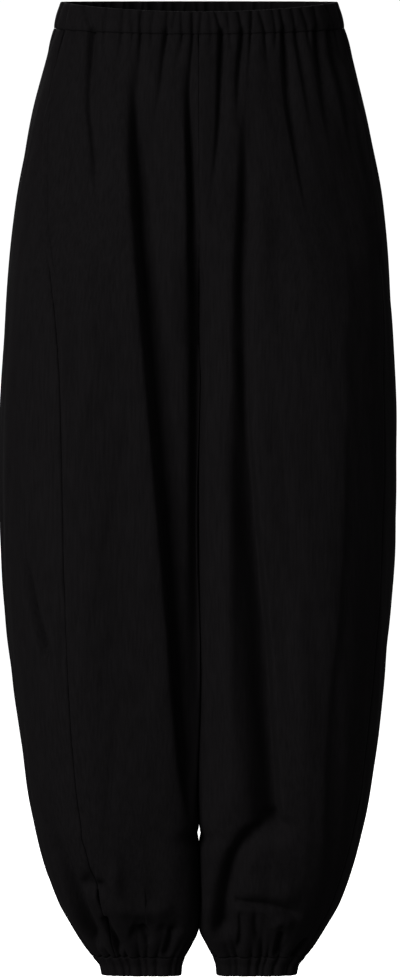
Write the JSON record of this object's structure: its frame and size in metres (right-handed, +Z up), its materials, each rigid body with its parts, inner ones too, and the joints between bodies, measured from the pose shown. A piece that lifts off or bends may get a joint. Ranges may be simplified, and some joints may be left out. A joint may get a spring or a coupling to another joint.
{
  "type": "balloon trousers",
  "caption": "Full-length balloon trousers with a gathered elastic waist casing, very full legs, side-seam pockets and narrow elastic ankle casings, filled out and open at waist and ankles.",
  "frame": {"origin": "middle of the waist, half way up the waist casing at its back and sides, where the wearer holds it up", "axes": "+Z up along the garment's length, -Y out of the front, +X to the wearer's left"},
  "size_m": [0.4045, 0.2904, 0.9994],
  "materials": {
    "leg_cloth": "matt black woven cloth with a fine plain weave and soft folds",
    "casing_cloth": "the same matt black woven cloth, folded over elastic and puckered by it",
    "pocket_cloth": "matt black woven cloth, inside the garment"
  },
  "bodies": {
    "root": {"waist_casing": "casing_cloth", "front_left": "leg_cloth", "front_right": "leg_cloth", "back_left": "leg_cloth", "back_right": "leg_cloth", "pocket_left": "pocket_cloth", "pocket_right": "pocket_cloth", "ankle_casing_left": "casing_cloth", "ankle_casing_right": "casing_cloth"}
  },
  "joints": []
}
